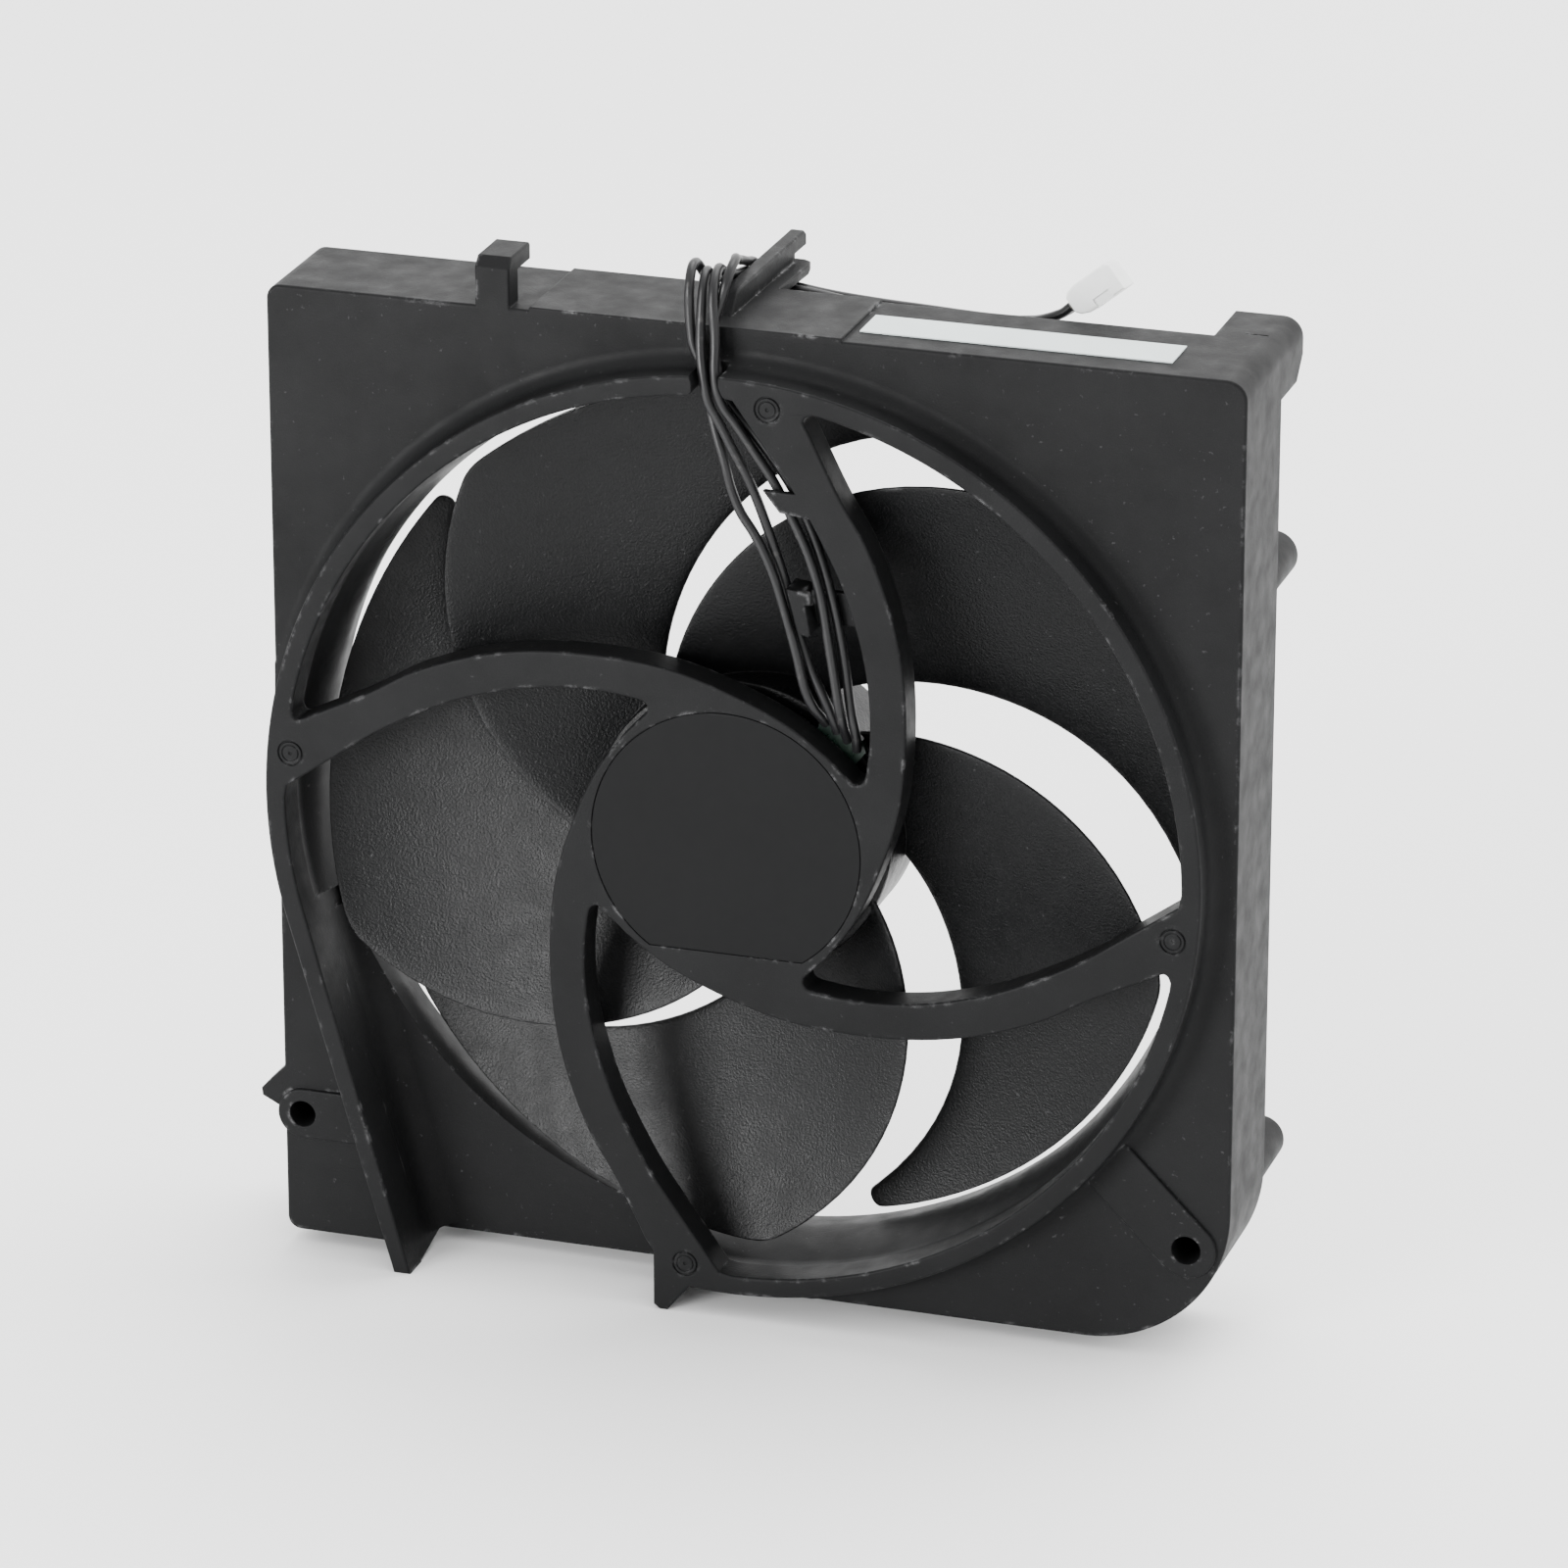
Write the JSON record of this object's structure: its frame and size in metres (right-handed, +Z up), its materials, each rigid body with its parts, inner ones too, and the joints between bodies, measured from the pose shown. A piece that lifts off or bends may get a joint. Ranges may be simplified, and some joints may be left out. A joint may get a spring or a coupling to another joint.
{
  "type": "case fan",
  "caption": "Square 120 mm class case fan: a round duct in a square frame, curved struts carrying the hub, a five-bladed impeller on a brushless motor, and leads with a small plug.",
  "frame": {"origin": "centre of the hub label's front face, on the axis the impeller turns about", "axes": "+X right, +Z up with the fan standing on its lower edge, +Y back along the impeller's axis, from the struts to the open side"},
  "size_m": [0.1262, 0.0365, 0.1357],
  "materials": {
    "frame_plastic": "fine matt",
    "impeller_plastic": "satin",
    "hub_label": "smooth satin film",
    "side_label": "satin",
    "nylon": "satin",
    "lead_sleeve": "satin",
    "steel": "ground",
    "lamination": "coated",
    "brass": "plain",
    "copper_wire": "enamelled",
    "magnet": "matt",
    "board": "solder mask",
    "chip": "matt",
    "insulator": "matt"
  },
  "bodies": {
    "frame": {"housing": "frame_plastic", "hub_label": "hub_label", "side_label": "side_label", "bearing_tube": "brass", "front_bearing": "steel", "rear_bearing": "steel", "stator_core": "lamination", "front_insulator": "insulator", "rear_insulator": "insulator", "circuit_board": "board", "driver_chip": "chip", "hall_sensor": "chip", "capacitor": "insulator", "plug_housing": "nylon", "coil_1": "copper_wire", "lead_1": "lead_sleeve", "crimp_terminal_1": "brass", "coil_2": "copper_wire", "lead_2": "lead_sleeve", "crimp_terminal_2": "brass", "coil_3": "copper_wire", "lead_3": "lead_sleeve", "crimp_terminal_3": "brass", "coil_4": "copper_wire", "lead_4": "lead_sleeve", "crimp_terminal_4": "brass"},
    "rotor": {"impeller": "impeller_plastic", "rotor_yoke": "steel", "magnet_ring": "magnet", "shaft": "steel", "retaining_clip": "steel", "thrust_washer": "nylon", "preload_spring": "steel"}
  },
  "joints": [
    {"name": "impeller_spin", "type": "hinge", "parent": "frame", "child": "rotor", "pos_m": [0, 0, 0], "axis": [0, 1, 0], "continuous": true}
  ]
}
